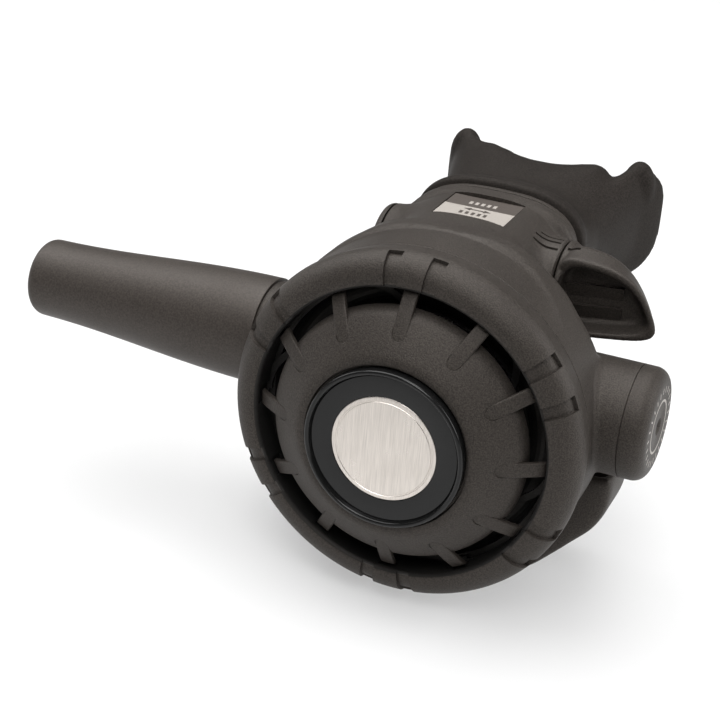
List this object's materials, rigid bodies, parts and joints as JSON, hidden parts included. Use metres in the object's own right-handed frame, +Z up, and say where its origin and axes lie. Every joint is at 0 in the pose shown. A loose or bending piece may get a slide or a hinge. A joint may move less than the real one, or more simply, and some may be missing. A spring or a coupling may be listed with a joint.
{
  "type": "diving regulator second stage",
  "caption": "Diving regulator second stage: round purge cover with ribbed button, side inlet with hose sleeve, air lever, mouthpiece, exhaust tee and demand valve inside.",
  "frame": {"origin": "centre of the hose sleeve's open end, on the axis of the inlet barrel", "axes": "+X along the barrel from the hose end to the end cap, -Y the way the purge cover faces, +Z up, on the side of the mouthpiece"},
  "size_m": [0.1638, 0.1235, 0.0885],
  "materials": {
    "case_plastic": "fine-grained moulded black",
    "ring_plastic": "fine-grained moulded black",
    "dark_plastic": "plain moulded black",
    "badge_black": "polished black",
    "badge_silver": "brushed one way",
    "sleeve_rubber": "smooth satin black",
    "mouth_rubber": "soft matt black silicone",
    "diaphragm_rubber": "thin grey-black silicone",
    "seal_rubber": "black nitrile",
    "steel": "plain stainless",
    "plated_brass": "dull plated",
    "label_print": "printed plate, plain marks"
  },
  "bodies": {
    "case": {"case": "case_plastic", "cover_ring": "ring_plastic", "inner_guard": "dark_plastic", "diaphragm": "diaphragm_rubber", "purge_spring": "steel", "inlet_barrel": "plated_brass", "inlet_nut": "plated_brass", "orifice": "plated_brass", "orifice_o_ring": "seal_rubber", "barrel_o_rings": "seal_rubber", "poppet_spring": "steel", "end_plug": "plated_brass", "end_cap": "case_plastic", "hose_sleeve": "sleeve_rubber", "window_label": "label_print", "mouthpiece": "mouth_rubber", "mouthpiece_tie": "dark_plastic", "exhaust_valve": "diaphragm_rubber", "exhaust_tee": "case_plastic"},
    "purge_button": {"purge_button": "ring_plastic", "badge_bezel": "badge_black", "badge_disc": "badge_silver"},
    "diaphragm_plate": {"diaphragm_plate": "steel"},
    "demand_lever": {"demand_lever": "steel"},
    "poppet": {"poppet": "dark_plastic", "poppet_seat": "seal_rubber", "lever_washer": "steel", "lever_locknut": "steel"},
    "air_lever": {"air_lever": "case_plastic", "air_lever_shaft": "steel", "air_vane": "dark_plastic", "pivot_cap": "case_plastic", "shaft_o_rings": "seal_rubber"}
  },
  "joints": [
    {"name": "purge_press", "type": "slide", "parent": "case", "child": "purge_button", "axis": [0, 1, 0], "range_m": [0, 0.003], "stiffness_N_per_m": 1500, "springref_m": -0.001, "deforming": ["purge_spring"]},
    {"name": "diaphragm_stroke", "type": "slide", "parent": "case", "child": "diaphragm_plate", "axis": [0, 1, 0], "range_m": [0, 0.0031], "deforming": ["diaphragm"]},
    {"name": "lever_swing", "type": "hinge", "parent": "case", "child": "demand_lever", "pos_m": [0.129, -0.0075, 0], "axis": [0, 0, -1], "range_deg": [0, 8.6]},
    {"name": "poppet_lift", "type": "slide", "parent": "case", "child": "poppet", "axis": [1, 0, 0], "range_m": [0, 0.0012], "deforming": ["poppet_spring"]},
    {"name": "air_lever_turn", "type": "hinge", "parent": "case", "child": "air_lever", "pos_m": [0.111, 0.01581, 0.023], "axis": [-1, 0, 0], "range_deg": [0, 28]}
  ],
  "couplings": [
    {"joint": "diaphragm_stroke", "follows": "purge_press", "ratio": 1},
    {"joint": "lever_swing", "follows": "purge_press", "rad_per_m": 48.3},
    {"joint": "poppet_lift", "follows": "purge_press", "ratio": 0.34}
  ]
}
